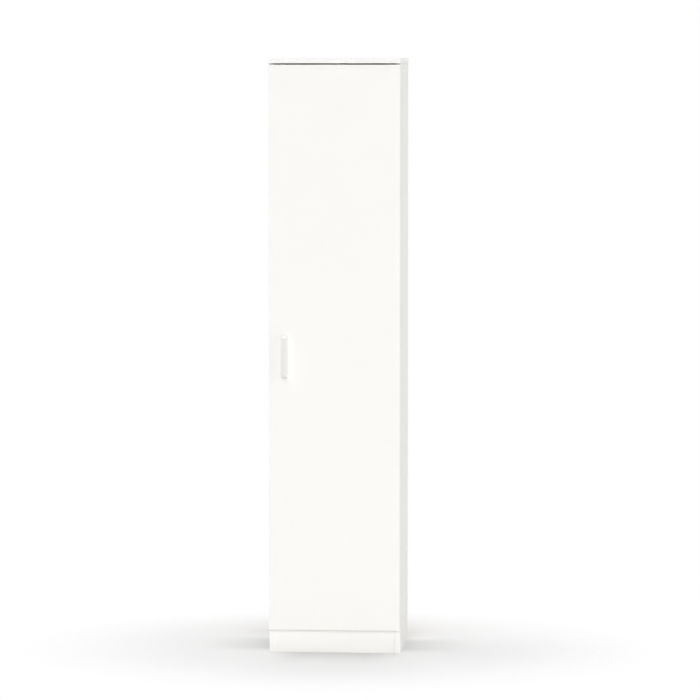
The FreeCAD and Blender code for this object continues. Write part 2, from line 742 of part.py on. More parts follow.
def make_handle():
    """A bow: the side outline, carried across the width of the bar."""
    half_front = handle_front_length / 2
    half_foot = handle_foot_length / 2
    slope = (half_foot - half_front) / handle_projection
    bar_inner = handle_projection - handle_bar_thickness
    inner_foot = half_foot - handle_leg_thickness
    inner_front = inner_foot - slope * bar_inner
    upper = [(0.0, inner_foot), (0.0, half_foot), (handle_projection, half_front)]
    lower = [(proud, -z) for proud, z in reversed(upper)]
    inside = [(bar_inner, -inner_front), (bar_inner, inner_front)]
    x0 = -door_half + handle_edge_distance - handle_width / 2
    corners = [point(x0, door_front_y - proud, handle_centre_height + z)
               for proud, z in upper + lower + inside]
    outline = Part.Face(Part.makePolygon(corners + corners[:1]))
    bow = outline.extrude(RIGHT * handle_width)
    free_edges = [edge for edge in bow.Edges
                  if any(abs(vertex.Y - door_front_y) > NEAR for vertex in edge.Vertexes)]
    bow = bow.makeFillet(handle_edge_radius, free_edges)
    x = x0 + handle_width / 2
    length = door_thickness + handle_screw_grip
    screw = pan_head_screw(handle_screw_radius, length, handle_screw_head_radius,
                           handle_screw_head_height)
    for sign in (-1, 1):
        seat = point(x, door_back_y, handle_centre_height + sign * handle_screw_spacing / 2)
        add("handle_screws", placed(screw, seat, BACKWARD))
        hole = drilled(seat, FORWARD, handle_screw_radius + hole_play, length + tip_room)
        cut_from("door_panel", hole)
        bow = bow.cut(hole)
    add("bow_handle", bow)


# Everything -----------------------------------------------------------------

def finished(node):
    """The node's solids with their holes and grooves cut."""
    tools = cuts.get(node, [])
    solids = []
    for solid in nodes[node]:
        near = [tool for tool in tools if tool.BoundBox.intersect(solid.BoundBox)]
        shape = solid.cut(Part.makeCompound(near)) if near else solid
        solids.extend(shape.Solids)
    return solids[0] if len(solids) == 1 else Part.makeCompound(solids)


make_sides()
make_top()
make_inner_boards()
make_back()
make_connectors()
make_shelf_pins()
make_plinth_brackets()
make_wall_bracket()
make_hooks()
make_hinges()
make_catch()
make_buffers()
make_door()
make_handle()
for name in nodes:
    part = finished(name)
    part.exportStep("parts/" + name + ".step")
    print(name, len(part.Solids), "solids", round(part.Volume), "mm3", part.isValid())
print("door pivot at x", round(pivot_x, 3), "y", round(pivot_y, 3))
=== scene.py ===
import math
import bpy
import numpy as np
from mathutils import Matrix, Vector


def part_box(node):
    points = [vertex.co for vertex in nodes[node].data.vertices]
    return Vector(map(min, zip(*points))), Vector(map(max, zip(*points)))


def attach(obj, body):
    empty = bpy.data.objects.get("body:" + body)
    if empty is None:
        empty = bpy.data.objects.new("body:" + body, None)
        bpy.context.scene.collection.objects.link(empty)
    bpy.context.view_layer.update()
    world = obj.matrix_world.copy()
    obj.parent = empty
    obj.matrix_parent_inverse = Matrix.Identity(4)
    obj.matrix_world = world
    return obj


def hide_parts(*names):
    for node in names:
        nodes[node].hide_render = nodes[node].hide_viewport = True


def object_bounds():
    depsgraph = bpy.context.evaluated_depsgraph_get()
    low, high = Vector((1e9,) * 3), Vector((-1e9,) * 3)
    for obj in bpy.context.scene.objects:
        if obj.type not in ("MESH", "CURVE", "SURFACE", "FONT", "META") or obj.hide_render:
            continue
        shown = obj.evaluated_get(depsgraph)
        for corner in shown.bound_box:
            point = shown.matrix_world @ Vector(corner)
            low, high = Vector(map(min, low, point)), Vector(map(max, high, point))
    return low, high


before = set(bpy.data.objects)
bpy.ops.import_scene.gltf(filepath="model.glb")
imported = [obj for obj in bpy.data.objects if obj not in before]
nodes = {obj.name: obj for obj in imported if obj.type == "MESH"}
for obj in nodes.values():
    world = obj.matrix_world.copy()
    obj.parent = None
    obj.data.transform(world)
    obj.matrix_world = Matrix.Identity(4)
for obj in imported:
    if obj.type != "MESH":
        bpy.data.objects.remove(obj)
cadLow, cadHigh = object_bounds()
mm = 0.001  # lengths below are in mm where no other unit is given
quarterTurn = math.pi / 2
print("frame loaded with", len(nodes), "nodes")

scene = bpy.context.scene
scene.view_settings.view_transform = "Standard"

# camera: a long lens at eye height, a little to the right of the door
eye = {
    "place": (1.0059, -11.7133, 1.792),  # m
    "degreesDown": 4.286,
    "degreesLeft": 4.739,
    "lens": 198.59,
    "sensor": 36.0,
    "reach": 100.0,  # m
}
cameraData = bpy.data.cameras.new("camera")
cameraData.lens = eye["lens"]
cameraData.sensor_width = eye["sensor"]
cameraData.clip_end = eye["reach"]
camera = bpy.data.objects.new("camera", cameraData)
camera.location = eye["place"]
camera.rotation_euler = (quarterTurn - math.radians(eye["degreesDown"]), 0,
                         math.radians(eye["degreesLeft"]))
scene.collection.objects.link(camera)
scene.camera = camera

# the sRGB curve: a straight toe, then a power of the shifted code
srgb = {"fullCode": 255, "toeEnd": 0.04045, "toeSlope": 12.92, "shift": 0.055, "power": 2.4}


# an sRGB hex colour as linear light, opaque
def linear(hexColour):
    coded = np.array([int(hexColour[i:i + 2], 16) for i in (1, 3, 5)]) / srgb["fullCode"]
    shifted = (coded + srgb["shift"]) / (1 + srgb["shift"])
    light = np.where(coded <= srgb["toeEnd"], coded / srgb["toeSlope"], shifted ** srgb["power"])
    return (*light.tolist(), 1.0)


# a node's inputs, each as a value or as a socket to link from
def feed(tree, node, inputs):
    for name, value in inputs.items():
        if isinstance(value, bpy.types.NodeSocket):
            tree.links.new(value, node.inputs[name])
        else:
            node.inputs[name].default_value = value


# a new node with its inputs and settings
def addNode(tree, kind, inputs, **settings):
    node = tree.nodes.new(kind)
    for name, value in settings.items():
        setattr(node, name, value)
    feed(tree, node, inputs)
    return node


# one operation on one or two values
def calculate(tree, operation, *values):
    return addNode(tree, "ShaderNodeMath", dict(enumerate(values)), operation=operation).outputs[0]


# a value moved from one range into another, and held at the ends of it
def fitRange(tree, value, source=(0, 1), target=(0, 1), curve="LINEAR"):
    return addNode(tree, "ShaderNodeMapRange", {
        "Value": value, "From Min": source[0], "From Max": source[1], "To Min": target[0],
        "To Max": target[1]}, interpolation_type=curve).outputs["Result"]


# two colours mixed, by the share of the second
def blend(tree, share, first, second):
    return addNode(tree, "ShaderNodeMix", {"Factor": share, "A": first, "B": second},
                   data_type="RGBA").outputs["Result"]


# a vector taken apart
def partsOf(tree, vector):
    return addNode(tree, "ShaderNodeSeparateXYZ", {"Vector": vector}).outputs


# the texture scale that gives features of this many mm
def scaleFor(size):
    return 1 / (size * mm)


# noise with features of this many mm
def noise(tree, place, size, detail, **more):
    return addNode(tree, "ShaderNodeTexNoise", {
        "Vector": place, "Scale": scaleFor(size), "Detail": detail, **more}).outputs["Fac"]


# normals of a relief of this many mm, from heights between 0 and 1
def relief(tree, height, lift, **more):
    return addNode(tree, "ShaderNodeBump", {
        "Height": height, "Distance": lift * mm, "Strength": 1.0, **more}).outputs["Normal"]


# a new material with its tree, its shader and its texture coordinates
def newMaterial(name):
    material = bpy.data.materials.new(name)
    material.use_nodes = True
    tree = material.node_tree
    coordinates = addNode(tree, "ShaderNodeTexCoord", {}).outputs
    return material, tree, tree.nodes["Principled BSDF"], coordinates


# one material on these CAD nodes
def dress(material, *names):
    for name in names:
        slots = nodes[name].data.materials
        slots.clear()
        slots.append(material)


# grids of points as one mesh: in each grid a row goes once round the piece, the next row lies
# further along it, and the two end rows are closed with a face each. A grid whose side faces
# look towards its middle, by the sum of area times distance, is first run the other way round
def gridsToMesh(name, grids):
    points, faces, start = [], [], 0
    for grid in grids:
        side = grid - grid.mean(axis=(0, 1))
        along = side[1:] - side[:-1]
        aside = np.roll(side, -1, axis=1)[:-1] - side[:-1]
        if np.sum(np.cross(aside, along) * side[:-1]) < 0:
            grid = grid[:, ::-1]
        rows, around = grid.shape[:2]
        row, step = np.meshgrid(np.arange(rows - 1), np.arange(around), indexing="ij")
        here = row * around + step
        beside = row * around + (step + 1) % around
        quads = np.stack([here, beside, beside + around, here + around], axis=-1).reshape(-1, 4)
        first = np.arange(around)[::-1]
        last = (rows - 1) * around + np.arange(around)
        faces += (quads + start).tolist() + [(first + start).tolist(), (last + start).tolist()]
        points.append(grid.reshape(-1, 3) * mm)
        start += rows * around
    mesh = bpy.data.meshes.new(name)
    mesh.from_pydata(np.vstack(points).tolist(), [], faces)
    mesh.shade_smooth()
    return mesh


# a finished mesh as a piece on its body, in place of the node that it stands for
def standIn(mesh, material, body, node):
    mesh.materials.append(material)
    piece = bpy.data.objects.new(mesh.name, mesh)
    scene.collection.objects.link(piece)
    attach(piece, body)
    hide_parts(node)


# the corners of a node's box, in mm
def boxOf(node):
    return tuple(np.array(corner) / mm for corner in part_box(node))


# a line through flat corner points that turns each inner corner on an arc: the arc starts
# radius * tan(turn / 2) before the corner and turns evenly into the next run
def roundedLine(corners, radii, arcSteps, runSteps):
    corners = [np.array(corner, float) for corner in corners]
    share = np.linspace(0, 1, runSteps + 1)[1:-1, None]
    line, start = [corners[0][None]], corners[0]
    for corner, after, radius in zip(corners[1:], corners[2:], radii):
        into = (corner - start) / np.linalg.norm(corner - start)
        out = (after - corner) / np.linalg.norm(after - corner)
        left = np.array([-into[1], into[0]])
        turn = math.atan2(left @ out, into @ out)
        way = math.copysign(1, turn)
        entry = corner - into * radius * math.tan(abs(turn) / 2)
        angle = np.linspace(0, abs(turn), arcSteps + 1)[:, None]
        arc = entry + radius * (np.sin(angle) * into + (1 - np.cos(angle)) * way * left)
        line += [start + (entry - start) * share, arc]
        start = arc[-1]
    line += [start + (corners[-1] - start) * share, corners[-1][None]]
    return np.vstack(line)


# the left side of a flat line at each point, square to the mean of the runs before and after it
def leftOf(line):
    runs = np.diff(line, axis=0)
    runs = runs / np.linalg.norm(runs, axis=1)[:, None]
    mean = np.vstack([runs[:1], runs[:-1] + runs[1:], runs[-1:]])
    along = mean / np.linalg.norm(mean, axis=1)[:, None]
    return np.stack([-along[:, 1], along[:, 0]], axis=-1)


section = {
    "edgeSteps": 6,
    "hold": 0.5,  # from a rounded edge to the line that keeps the flat beside it flat
    "flatParts": 3,  # a column stands on the flat at one such part of its half width
}


# a bar between two side outlines: each row is a rectangle with round edges, as thick as the two
# outlines are apart there and as wide as the bar; the columns are outline, outline, width
def barBetween(outer, inner, halfWidth, edge, crown=0.0):
    across = outer - inner
    thickness = np.linalg.norm(across, axis=1)[:, None]
    across = (across / thickness)[:, None]
    angle = np.linspace(0, quarterTurn, section["edgeSteps"] + 1)
    flat = halfWidth - edge
    hold = section["hold"]
    side = np.concatenate([[flat / section["flatParts"], flat - hold],
                           flat + edge * np.sin(angle), [halfWidth]])
    rise = np.concatenate([[edge, edge], edge * np.cos(angle), [-hold]])
    width = np.concatenate([side, side[::-1], -side, -side[::-1]])
    beyond = np.concatenate([rise, -rise[::-1], -rise, rise[::-1]])
    face = np.repeat([1, -1, -1, 1], len(side))
    fall = crown * (width / halfWidth) ** 2 * (face > 0)
    level = face * (thickness / 2 - edge) + beyond - fall
    line = ((outer + inner) / 2)[:, None] + across * level[:, :, None]
    return np.concatenate([line, np.broadcast_to(width, level.shape)[:, :, None]], axis=2)


# Materials of the boards

faceTurn = 0.5  # a normal's share along an axis from which a face counts as facing that way

board = {
    "white": "#F7F6F3",
    "whiteDeep": "#F5F4F1",
    "roughness": 0.5,
    "cutRoughness": 0.9,
    "drift": 260.0,  # the slow unevenness of a pressed sheet
    "driftDetail": 2.0,
    "pebble": 0.9,  # the pearl texture of the press plate
    "pebbleDetail": 1.0,
    "pebbleRoughness": 0.4,
    "pebbleLift": 0.010,
    "chipPale": "#D9BD93",
    "chipDark": "#9C7647",
    "chip": 3.2,  # a wood chip in the core
    "chipLift": 0.25,
}


# melamine-faced chipboard, white paper pressed on with a pearl plate: the eye sees an even satin
# white with a very fine pebble, and brown chips where the board is cut across
def pearlMelamine(name, thicknessAxis):
    material, tree, shader, coordinates = newMaterial(name)
    place = coordinates["Object"]
    drift = noise(tree, place, board["drift"], board["driftDetail"])
    white = blend(tree, drift, linear(board["white"]), linear(board["whiteDeep"]))
    pebble = noise(tree, place, board["pebble"], board["pebbleDetail"],
                   Roughness=board["pebbleRoughness"])
    chips = addNode(tree, "ShaderNodeTexVoronoi", {
        "Vector": place, "Scale": scaleFor(board["chip"]), "Randomness": 1.0}).outputs
    chipTone = addNode(tree, "ShaderNodeSeparateColor", {"Color": chips["Color"]}).outputs["Red"]
    chipColour = blend(tree, chipTone, linear(board["chipPale"]), linear(board["chipDark"]))
    facing = partsOf(tree, coordinates["Normal"])[thicknessAxis]
    cutFace = calculate(tree, "LESS_THAN", calculate(tree, "ABSOLUTE", facing), faceTurn)
    chipHeight = calculate(tree, "MULTIPLY", chips["Distance"], cutFace)
    feed(tree, shader, {
        "Base Color": blend(tree, cutFace, white, chipColour),
        "Roughness": fitRange(tree, cutFace, target=(board["roughness"], board["cutRoughness"])),
        "Normal": relief(tree, chipHeight, board["chipLift"],
                         Normal=relief(tree, pebble, board["pebbleLift"]))})
    return material


dress(pearlMelamine("pearlMelamineUpright", "X"), "left_side_panel", "right_side_panel")
dress(pearlMelamine("pearlMelamineLevel", "Z"), "top_board", "bottom_board", "fixed_shelf",
      "loose_shelf")
dress(pearlMelamine("pearlMelamineFront", "Y"), "door_panel", "plinth_board", "tool_rail")


# a white plastic with one fine texture all over
def texturedPlastic(name, finish):
    material, tree, shader, coordinates = newMaterial(name)
    texture = noise(tree, coordinates["Object"], finish["grain"], finish["detail"])
    feed(tree, shader, {"Base Color": linear(finish["white"]), "Roughness": finish["roughness"],
                        "Normal": relief(tree, texture, finish["lift"])})
    return material


# extruded ABS edging, white right through: satin like the boards, with faint lines of the roller
edging = {"white": "#F6F5F2", "roughness": 0.45, "grain": 0.7, "detail": 1.0, "lift": 0.006}
dress(texturedPlastic("rolledAbsEdging", edging), "side_edge_bands", "top_edge_bands",
      "shelf_edge_bands", "door_edge_bands")

backSheet = {
    "white": "#F2F2EF",
    "lacquerRoughness": 0.38,
    "fibrePale": "#A07A50",
    "fibreDark": "#8B6741",
    "fibreRoughness": 0.75,
    "fibre": 1.6,
    "fibreDetail": 4.0,
    "fibreWander": 1.5,
    "cloud": 45.0,
    "cloudDetail": 3.0,
    "mottle": (0.12, 0.38),  # of fibre times cloud, where pale ends and where dark begins
    "lift": 0.03,
}


# hard fibreboard lacquered white on one side: a smooth white face inside, felted brown behind
def lacqueredFibreboard():
    material, tree, shader, coordinates = newMaterial("lacqueredFibreboard")
    place = coordinates["Object"]
    fibre = noise(tree, place, backSheet["fibre"], backSheet["fibreDetail"],
                  Distortion=backSheet["fibreWander"])
    cloud = noise(tree, place, backSheet["cloud"], backSheet["cloudDetail"])
    brown = fitRange(tree, calculate(tree, "MULTIPLY", fibre, cloud), backSheet["mottle"])
    fibreColour = blend(tree, brown, linear(backSheet["fibrePale"]), linear(backSheet["fibreDark"]))
    facing = partsOf(tree, coordinates["Normal"])["Y"]
    lacquered = calculate(tree, "LESS_THAN", facing, -faceTurn)
    feed(tree, shader, {
        "Base Color": blend(tree, lacquered, fibreColour, linear(backSheet["white"])),
        "Roughness": fitRange(tree, lacquered, target=(backSheet["fibreRoughness"],
                                                       backSheet["lacquerRoughness"])),
        "Normal": relief(tree, fibre, backSheet["lift"])})
    return material


dress(lacqueredFibreboard(), "lower_back_panel", "upper_back_panel")
print("boards finished")

# Materials of the fittings, and the fittings that are made here

# injection-moulded polypropylene, spark-eroded mould: soft white with a fine dull grain
plastic = {"white": "#EFEFEC", "roughness": 0.45, "grain": 0.5, "detail": 2.0, "lift": 0.008}
dress(texturedPlastic("mouldedPolypropylene", plastic), "back_joining_strip", "cam_caps",
      "catch_case")


# plated steel: cloudy reflections from the plating bath, and fine scratches of handling
def platedSteel(name, finish):
    material, tree, shader, coordinates = newMaterial(name)
    place = coordinates["Object"]
    cloud = noise(tree, place, finish["cloud"], finish["cloudDetail"])
    grain = noise(tree, place, finish["grain"], finish["grainDetail"])
    feed(tree, shader, {
        "Metallic": 1.0,
        "Base Color": blend(tree, cloud, linear(finish["light"]), linear(finish["dark"])),
        "Roughness": fitRange(tree, cloud, target=(finish["smooth"], finish["rough"])),
        "Normal": relief(tree, grain, finish["lift"])})
    return material


zinc = {"light": "#D6DADD", "dark": "#B9BFC4", "smooth": 0.28, "rough": 0.48, "cloud": 6.0,
        "cloudDetail": 3.0, "grain": 0.4, "grainDetail": 2.0, "lift": 0.006}
nickel = {"light": "#D8D4CC", "dark": "#C2BDB3", "smooth": 0.16, "rough": 0.30, "cloud": 14.0,
          "cloudDetail": 3.0, "grain": 0.3, "grainDetail": 2.0, "lift": 0.002}
zincPlatedSteel = platedSteel("zincPlatedSteel", zinc)
nickelPlatedSteel = platedSteel("nickelPlatedSteel", nickel)
dress(zincPlatedSteel, "cam_bolts", "cam_locks", "plinth_brackets", "wall_bracket",
      "back_screws", "plinth_bracket_screws", "wall_bracket_screw", "tool_hook_screws",
      "catch_screws", "catch_strike", "catch_poles", "hinge_cup_screws", "hinge_plate_screws",
      "hinge_arm_screws", "handle_screws", "shelf_pins")
dress(nickelPlatedSteel, "hinge_cups", "hinge_plates", "hinge_pins")

satin = {
    "light": "#F5F4F3",
    "dark": "#F0EEEE",
    "roughness": 0.5,
    "brush": 0.6,  # width of a streak
    "draw": 40.0,  # length of a streak
    "detail": 2.0,
    "lift": 0.003,
}


# anodised aluminium, drawn through a die and brushed along its length: a quiet pale grey with
# long soft streaks
def brushedAluminium():
    material, tree, shader, coordinates = newMaterial("brushedAluminium")
    stretched = addNode(tree, "ShaderNodeMapping", {
        "Vector": coordinates["Object"],
        "Scale": (1, 1, satin["brush"] / satin["draw"])}).outputs["Vector"]
    streak = noise(tree, stretched, satin["brush"], satin["detail"])
    feed(tree, shader, {
        "Metallic": 1.0,
        "Roughness": satin["roughness"],
        "Base Color": blend(tree, streak, linear(satin["light"]), linear(satin["dark"])),
        "Normal": relief(tree, streak, satin["lift"])})
    return material


bow = {
    "face": 118.5,  # length of the front of the bar
    "bar": 9.0,  # thickness
    "leg": 12.0,  # thickness of a leg where it meets the door
    "edge": 1.0,
    "outerBend": 2.4,
    "innerBend": 5.0,
    "crown": 0.25,  # how far the front falls away towards its long edges
    "arcSteps": 10,
    "runSteps": 16,
}


# a drawn bar bent to a bow: its side view is two outlines with leaning legs and round bends
def bowHandle():
    low, high = boxOf("bow_handle")
    middle = (low + high) / 2
    foot = high[2] - middle[2]
    reach = high[1] - low[1]
    face = bow["face"] / 2
    lean = (foot - face) / reach
    innerReach = reach - bow["bar"]
    innerFoot = foot - bow["leg"]
    innerFace = innerFoot - lean * innerReach
    steps = (bow["arcSteps"], bow["runSteps"])
    outer = roundedLine([(0, foot), (reach, face), (reach, -face), (0, -foot)],
                        [bow["outerBend"]] * 2, *steps)
    inner = roundedLine([(0, innerFoot), (innerReach, innerFace), (innerReach, -innerFace),
                         (0, -innerFoot)], [bow["innerBend"]] * 2, *steps)
    bar = barBetween(outer, inner, (high[0] - low[0]) / 2, bow["edge"], bow["crown"])
    grid = np.stack([middle[0] + bar[..., 2], high[1] - bar[..., 0], middle[2] + bar[..., 1]],
                    axis=-1)
    return gridsToMesh("bowHandle", [grid])


standIn(bowHandle(), brushedAluminium(), "door", "bow_handle")
print("handle made")

hook = {
    "count": 3,
    "halfSide": 7.0,  # of the plate
    "halfUp": 22.0,
    "thickness": 2.0,
    "corner": 3.0,
    "pillow": 0.8,
    "wireDown": 13.2,  # from the plate's middle to the wire
    "wire": 2.5,  # radius
    "reach": 30.0,
    "lip": 16.0,
    "bend": 7.0,
    "weld": 1.1,  # how much thicker the wire is where it is welded on
    "weldLength": 1.4,
    "around": 28,
    "arcSteps": 14,
    "runSteps": 12,
    "tipSteps": 8,
}


# a stamped plate as rings: each ring is a rectangle with round corners, drawn inwards by an inset
# that follows a quarter circle, so that the front edge is pillowed. Columns: side, up, depth
def stampedPlate(halfSide, halfUp, thickness, corner, pillow):
    quarter = np.linspace(0, quarterTurn, section["edgeSteps"] + 1)
    angle = (np.arange(4)[:, None] * quarterTurn + quarter).ravel()
    signs = np.repeat([[1, 1], [-1, 1], [-1, -1], [1, -1]], len(quarter), axis=0)
    centre = signs * (halfSide - corner, halfUp - corner)
    outward = np.stack([np.cos(angle), np.sin(angle)], axis=-1)
    inset = np.concatenate([[0], pillow * (1 - np.cos(quarter))])
    depth = np.concatenate([[0], thickness - pillow * (1 - np.sin(quarter))])
    rings = centre + outward * (corner - inset)[:, None, None]
    level = np.broadcast_to(depth[:, None, None], (*rings.shape[:2], 1))
    return np.concatenate([rings, level], axis=2)


# a round wire along a flat line: a ring square to the line at each point, with its own radius
def wireAlong(line, radius, around):
    angle = np.linspace(0, 2 * math.pi, around, endpoint=False)
    aside = leftOf(line)[:, None] * (radius[:, None] * np.cos(angle))[:, :, None]
    level = (radius[:, None] * np.sin(angle))[:, :, None]
    return np.concatenate([line[:, None] + aside, level], axis=2)


# tool hooks: a stamped plate, and a wire that is welded on, turns up on an arc and ends in a half
# ball, whose rings leave out its rim and its pole. The weld widens the wire by a bell curve of the
# distance from the plate
def toolHooks():
    low, high = boxOf("tool_hooks")
    plate = stampedPlate(hook["halfSide"], hook["halfUp"], hook["thickness"], hook["corner"],
                         hook["pillow"])
    line = roundedLine([(hook["thickness"] / 2, 0), (hook["reach"], 0),
                        (hook["reach"], hook["lip"])], [hook["bend"]],
                       hook["arcSteps"], hook["runSteps"])
    weld = hook["weld"] * np.exp(-((line[:, 0] - hook["thickness"]) / hook["weldLength"]) ** 2)
    radius = hook["wire"] + weld
    turn = np.linspace(0, quarterTurn, hook["tipSteps"] + 2)[1:-1]
    tip = line[-1] + hook["wire"] * np.stack([np.zeros_like(turn), np.sin(turn)], axis=-1)
    wire = wireAlong(np.vstack([line, tip]),
                     np.concatenate([radius, hook["wire"] * np.cos(turn)]), hook["around"])
    middle = low[2] + hook["halfUp"]
    grids = []
    for place in np.linspace(low[0] + hook["halfSide"], high[0] - hook["halfSide"], hook["count"]):
        grids.append(np.stack([place + plate[..., 0], high[1] - plate[..., 2],
                               middle + plate[..., 1]], axis=-1))
        grids.append(np.stack([place + wire[..., 2], high[1] - wire[..., 0],
                               middle - hook["wireDown"] + wire[..., 1]], axis=-1))
    return gridsToMesh("toolHooks", grids)


standIn(toolHooks(), zincPlatedSteel, "carcass", "tool_hooks")
print("hooks made")

arm = {
    "count": 4,
    "length": 58.0,  # of the channel over the mounting plate
    "depth": 8.2,
    "halfWidth": 8.2,
    "wall": 1.7,
    "outerBend": 3.0,
    "innerBend": 1.3,
    "edge": 0.4,
    "root": 20.0,  # how far the neck reaches back under the channel's face
    "rootStep": 0.5,
    "slope": 8.0,
    "neckStep": 3.3,  # from the channel's face to the neck
    "neckHalfWidth": 6.0,
    "neckBend": 4.0,
    "heel": 4.2,
    "sheet": 1.0,
    "neck": 3.4,
    "thinning": (9.0, 3.5),  # from the pin, where the neck starts and ends to thin out
    "eye": 2.5,
    "eyeWall": 1.15,
    "eyeTurn": (-90.0, 200.0),  # degrees, where the eye starts and ends
    "eyeSteps": 26,
    "arcSteps": 10,
    "runSteps": 6,
}


# hinge arms pressed from sheet: a channel, which is a bar bent to a U, and a neck that leaves its
# face, turns at the heel, thins out evenly and curls round the pin as an eye
def hingeArms():
    low, high = boxOf("hinge_arms")
    steps = (arm["arcSteps"], arm["runSteps"])
    face, under, front = low[0], low[1], high[1] - arm["length"]
    rim, half, wall = face + arm["depth"], arm["halfWidth"], arm["wall"]
    outer = roundedLine([(rim, -half), (face, -half), (face, half), (rim, half)],
                        [arm["outerBend"]] * 2, *steps)
    inner = roundedLine([(rim, wall - half), (face + wall, wall - half),
                         (face + wall, half - wall), (rim, half - wall)],
                        [arm["innerBend"]] * 2, *steps)
    channel = barBetween(outer, inner, arm["length"] / 2, arm["edge"])
    pin = np.array([high[0] - arm["eye"], under + arm["eye"]])
    root, neckX = face + arm["rootStep"], face + arm["neckStep"]
    neckLine = roundedLine([(root, front + arm["root"]), (root, front + arm["slope"]),
                            (neckX, front), (neckX, under), (pin[0], under)],
                           [arm["neckBend"], arm["neckBend"], arm["heel"]], *steps)
    angle = np.radians(np.linspace(*arm["eyeTurn"], arm["eyeSteps"] + 1))[1:]
    curl = pin + arm["eye"] * np.stack([np.cos(angle), np.sin(angle)], axis=-1)
    line = np.vstack([neckLine, curl])
    gone = np.concatenate([[0], np.cumsum(np.linalg.norm(np.diff(line, axis=0), axis=1))])
    toPin = gone[len(neckLine) - 1]
    knots = [arm["root"] - arm["slope"], arm["root"], toPin - arm["thinning"][0],
             toPin - arm["thinning"][1]]
    thickness = np.interp(gone, knots, [arm["sheet"], arm["neck"], arm["neck"], arm["eyeWall"]])
    neck = barBetween(line, line + leftOf(line) * thickness[:, None], arm["neckHalfWidth"],
                      arm["edge"])
    middle = high[1] - arm["length"] / 2
    grids = []
    for height in np.linspace(low[2] + half, high[2] - half, arm["count"]):
        grids.append(np.stack([channel[..., 0], middle + channel[..., 2],
                               height + channel[..., 1]], axis=-1))
        grids.append(np.stack([neck[..., 0], neck[..., 1], height + neck[..., 2]], axis=-1))
    return gridsToMesh("hingeArms", grids)


standIn(hingeArms(), nickelPlatedSteel, "carcass", "hinge_arms")
print("hinge arms made")

peg = {
    "pale": "#DDBC8C",
    "dark": "#C39C68",
    "ring": 22.0,
    "wander": 2.0,
    "fleck": 0.5,
    "fleckDetail": 2.0,
    "along": 5.0,  # how many times as long as it is wide a fleck is
    "roughness": 0.65,
}


# turned beech: pink-tan wood with short darker flecks along the grain
def turnedBeech():
    material, tree, shader, coordinates = newMaterial("turnedBeech")
    along = addNode(tree, "ShaderNodeMapping", {
        "Vector": coordinates["Object"], "Scale": (1 / peg["along"], 1, 1)}).outputs["Vector"]
    fleck = noise(tree, along, peg["fleck"], peg["fleckDetail"])
    ring = addNode(tree, "ShaderNodeTexWave", {
        "Vector": along, "Scale": scaleFor(peg["ring"]), "Distortion": peg["wander"]},
        bands_direction="Y").outputs["Fac"]
    tone = calculate(tree, "MULTIPLY", fleck, ring)
    feed(tree, shader, {"Base Color": blend(tree, tone, linear(peg["pale"]), linear(peg["dark"])),
                        "Roughness": peg["roughness"]})
    return material


dress(turnedBeech(), "dowels")

magnet = {"dark": "#2B2B2D", "light": "#3A3A3C", "speck": 0.35, "detail": 1.0, "roughness": 0.7}


# sintered ferrite: charcoal grey, dull, with a fine gritty speckle
def sinteredFerrite():
    material, tree, shader, coordinates = newMaterial("sinteredFerrite")
    speck = noise(tree, coordinates["Object"], magnet["speck"], magnet["detail"])
    feed(tree, shader, {
        "Base Color": blend(tree, speck, linear(magnet["dark"]), linear(magnet["light"])),
        "Roughness": magnet["roughness"]})
    return material


dress(sinteredFerrite(), "catch_magnet")

buffer = {"tint": "#F2F4F3", "smooth": 0.14, "rough": 0.24, "haze": 2.0, "detail": 1.0,
          "ior": 1.5, "clear": 0.3}


# cast clear polyurethane, seen on a white board: a small glossy drop, pale and a little milky
def clearPolyurethane():
    material, tree, shader, coordinates = newMaterial("clearPolyurethane")
    haze = noise(tree, coordinates["Object"], buffer["haze"], buffer["detail"])
    feed(tree, shader, {
        "Base Color": linear(buffer["tint"]),
        "IOR": buffer["ior"],
        "Transmission Weight": buffer["clear"],
        "Roughness": fitRange(tree, haze, target=(buffer["smooth"], buffer["rough"]))})
    return material


dress(clearPolyurethane(), "door_buffers")
print("fittings finished")

# Studio: a pale floor with a painted shade around the cupboard that runs out into white, soft lamps
# from five sides and a bright room

studio = {
    "room": 0.29,  # strength of the light from all around
    "white": "#FFFFFF",
    "paintedShadeColour": "#000000",
    "floor": "#F4F4F4",
    "clear": (0.35, 1.05),  # m from the middle, over which the floor turns white
    "clearSooner": 1.2,  # how much sooner that is in front of the cupboard and behind it
    "clearAhead": 0.05,  # m, how far the middle of the grey floor lies in front
    # the shade entries paint a shade into the floor's colour around the cupboard; no lamp casts it
    "shade": 0.21,  # deepest shade on the floor, close to the cupboard
    "shadeReach": 0.24,  # m from the cupboard, where it ends
    "shadePower": 1.5,  # how it falls off
    "shadeFade": 0.11,  # m, over which it fades towards the cupboard's corners
    "floorReach": 40.0,  # m
}

# soft lights from far away: degrees round from the front to the right, degrees up, degrees of
# spread, strength, where 1 lights a white face that looks straight at it to full white, and
# whether reflections show the lamp
lamps = {
    "overhead": {"round": 180, "up": 85, "spread": 40, "strength": 0.42, "mirrored": True},
    "front": {"round": 5, "up": 20, "spread": 30, "strength": 0.39, "mirrored": False},
    "frontRight": {"round": 60, "up": 10, "spread": 40, "strength": 0.20, "mirrored": True},
    "leftFill": {"round": -95, "up": 6, "spread": 30, "strength": 0.26, "mirrored": False},
    "rearFill": {"round": 180, "up": 6, "spread": 30, "strength": 0.40, "mirrored": False},
}
for name, lamp in lamps.items():
    lampData = bpy.data.lights.new(name, "SUN")
    lampData.angle = math.radians(lamp["spread"])
    lampData.energy = math.pi * lamp["strength"]
    lampObject = bpy.data.objects.new(name, lampData)
    turn, rise = math.radians(lamp["round"]), math.radians(lamp["up"])
    source = Vector((math.sin(turn) * math.cos(rise), -math.cos(turn) * math.cos(rise),
                     math.sin(rise)))
    lampObject.visible_glossy = lamp["mirrored"]
    lampObject.rotation_euler = source.to_track_quat("Z", "Y").to_euler()
    scene.collection.objects.link(lampObject)

